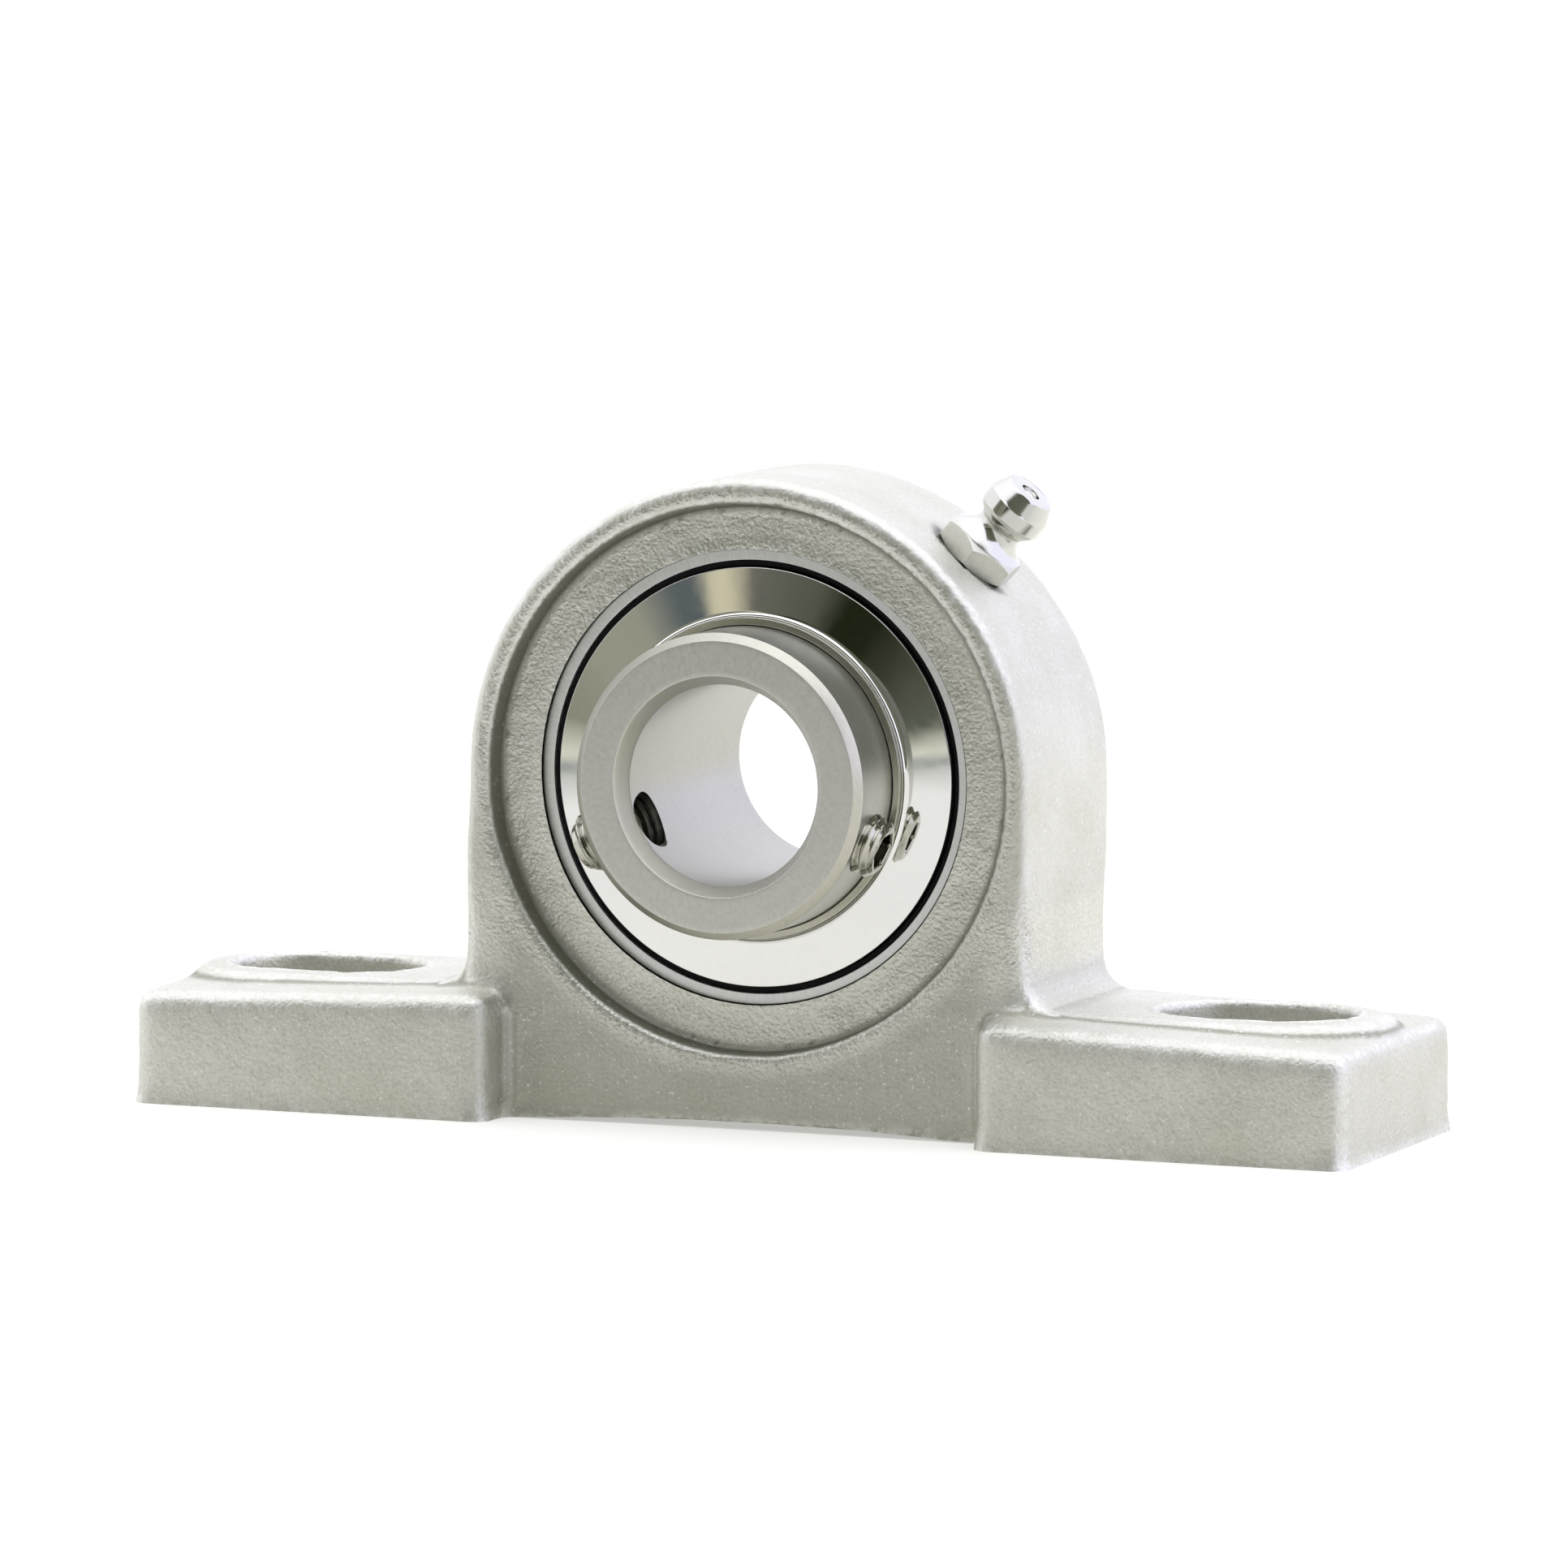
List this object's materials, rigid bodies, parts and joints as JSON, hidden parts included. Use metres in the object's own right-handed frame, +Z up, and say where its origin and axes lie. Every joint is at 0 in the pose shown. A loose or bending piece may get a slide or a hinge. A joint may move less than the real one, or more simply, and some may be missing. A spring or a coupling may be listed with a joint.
{
  "type": "pillow block bearing",
  "caption": "Cast two-bolt pillow block with a self-aligning insert ball bearing, set screws and a grease fitting, to carry the end of a turning shaft.",
  "frame": {"origin": "on the mounting plane, midway between the bolt slots and straight below the shaft axis", "axes": "+X along the base, +Y along the shaft bore and away from the set-screw side, +Z up from the mounting plane"},
  "size_m": [0.1234, 0.0345, 0.0621],
  "materials": {
    "cast_steel": "cast and shot-blasted, fine grain",
    "ground_steel": "ground, satin",
    "flinger_sheet": "pressed and polished",
    "bright_fitting": "turned and polished",
    "screw_steel": "rolled thread, bright",
    "ball_steel": "polished",
    "spring_wire": "drawn wire",
    "seal_steel": "pressed",
    "cage_sheet": "pressed",
    "seal_rubber": "matt moulded"
  },
  "bodies": {
    "housing": {"housing": "cast_steel", "grease_fitting": "bright_fitting", "grease_spring": "spring_wire"},
    "check_ball": {"grease_check_ball": "ball_steel"},
    "insert": {"outer_ring": "ground_steel", "front_seal_core": "seal_steel", "front_seal_lip": "seal_rubber", "back_seal_core": "seal_steel", "back_seal_lip": "seal_rubber"},
    "inner": {"inner_ring": "ground_steel", "front_flinger": "flinger_sheet", "back_flinger": "flinger_sheet"},
    "cage": {"cage_front": "cage_sheet", "cage_back": "cage_sheet", "cage_rivets": "cage_sheet"},
    "screw_left": {"set_screw_left": "screw_steel"},
    "screw_right": {"set_screw_right": "screw_steel"},
    "ball_1": {"ball_1": "ball_steel"},
    "ball_2": {"ball_2": "ball_steel"},
    "ball_3": {"ball_3": "ball_steel"},
    "ball_4": {"ball_4": "ball_steel"},
    "ball_5": {"ball_5": "ball_steel"},
    "ball_6": {"ball_6": "ball_steel"},
    "ball_7": {"ball_7": "ball_steel"},
    "ball_8": {"ball_8": "ball_steel"}
  },
  "joints": [
    {"name": "insert_tilt", "type": "hinge", "parent": "housing", "child": "insert", "pos_m": [0, 0, 0.0333], "axis": [1, 0, 0], "range_deg": [-2, 2]},
    {"name": "shaft_spin", "type": "hinge", "parent": "insert", "child": "inner", "pos_m": [0, 0, 0.0333], "axis": [0, 1, 0], "continuous": true},
    {"name": "cage_turn", "type": "hinge", "parent": "insert", "child": "cage", "pos_m": [0, 0, 0.0333], "axis": [0, 1, 0], "continuous": true},
    {"name": "ball_1_spin", "type": "hinge", "parent": "cage", "child": "ball_1", "pos_m": [0.01547, 0, 0.03971], "axis": [0, 1, 0], "continuous": true},
    {"name": "ball_2_spin", "type": "hinge", "parent": "cage", "child": "ball_2", "pos_m": [0.00641, 0, 0.04877], "axis": [0, 1, 0], "continuous": true},
    {"name": "ball_3_spin", "type": "hinge", "parent": "cage", "child": "ball_3", "pos_m": [-0.00641, 0, 0.04877], "axis": [0, 1, 0], "continuous": true},
    {"name": "ball_4_spin", "type": "hinge", "parent": "cage", "child": "ball_4", "pos_m": [-0.01547, 0, 0.03971], "axis": [0, 1, 0], "continuous": true},
    {"name": "ball_5_spin", "type": "hinge", "parent": "cage", "child": "ball_5", "pos_m": [-0.01547, 0, 0.02689], "axis": [0, 1, 0], "continuous": true},
    {"name": "ball_6_spin", "type": "hinge", "parent": "cage", "child": "ball_6", "pos_m": [-0.00641, 0, 0.01783], "axis": [0, 1, 0], "continuous": true},
    {"name": "ball_7_spin", "type": "hinge", "parent": "cage", "child": "ball_7", "pos_m": [0.00641, 0, 0.01783], "axis": [0, 1, 0], "continuous": true},
    {"name": "ball_8_spin", "type": "hinge", "parent": "cage", "child": "ball_8", "pos_m": [0.01547, 0, 0.02689], "axis": [0, 1, 0], "continuous": true},
    {"name": "screw_left_travel", "type": "slide", "parent": "inner", "child": "screw_left", "axis": [0.915, 0, 0.4035], "range_m": [-0.00181, 0.00091]},
    {"name": "screw_right_travel", "type": "slide", "parent": "inner", "child": "screw_right", "axis": [-0.9323, 0, 0.3616], "range_m": [-0.00181, 0.00091]},
    {"name": "check_ball_press", "type": "slide", "parent": "housing", "child": "check_ball", "axis": [-0.6691, 0, -0.7431], "range_m": [0, 0.001], "stiffness_N_per_m": 300, "springref_m": -0.001, "deforming": ["grease_spring"]}
  ],
  "couplings": [
    {"joint": "cage_turn", "follows": "shaft_spin", "ratio": 0.38152},
    {"joint": "ball_1_spin", "follows": "shaft_spin", "ratio": -1.9916},
    {"joint": "ball_2_spin", "follows": "shaft_spin", "ratio": -1.9916},
    {"joint": "ball_3_spin", "follows": "shaft_spin", "ratio": -1.9916},
    {"joint": "ball_4_spin", "follows": "shaft_spin", "ratio": -1.9916},
    {"joint": "ball_5_spin", "follows": "shaft_spin", "ratio": -1.9916},
    {"joint": "ball_6_spin", "follows": "shaft_spin", "ratio": -1.9916},
    {"joint": "ball_7_spin", "follows": "shaft_spin", "ratio": -1.9916},
    {"joint": "ball_8_spin", "follows": "shaft_spin", "ratio": -1.9916}
  ]
}
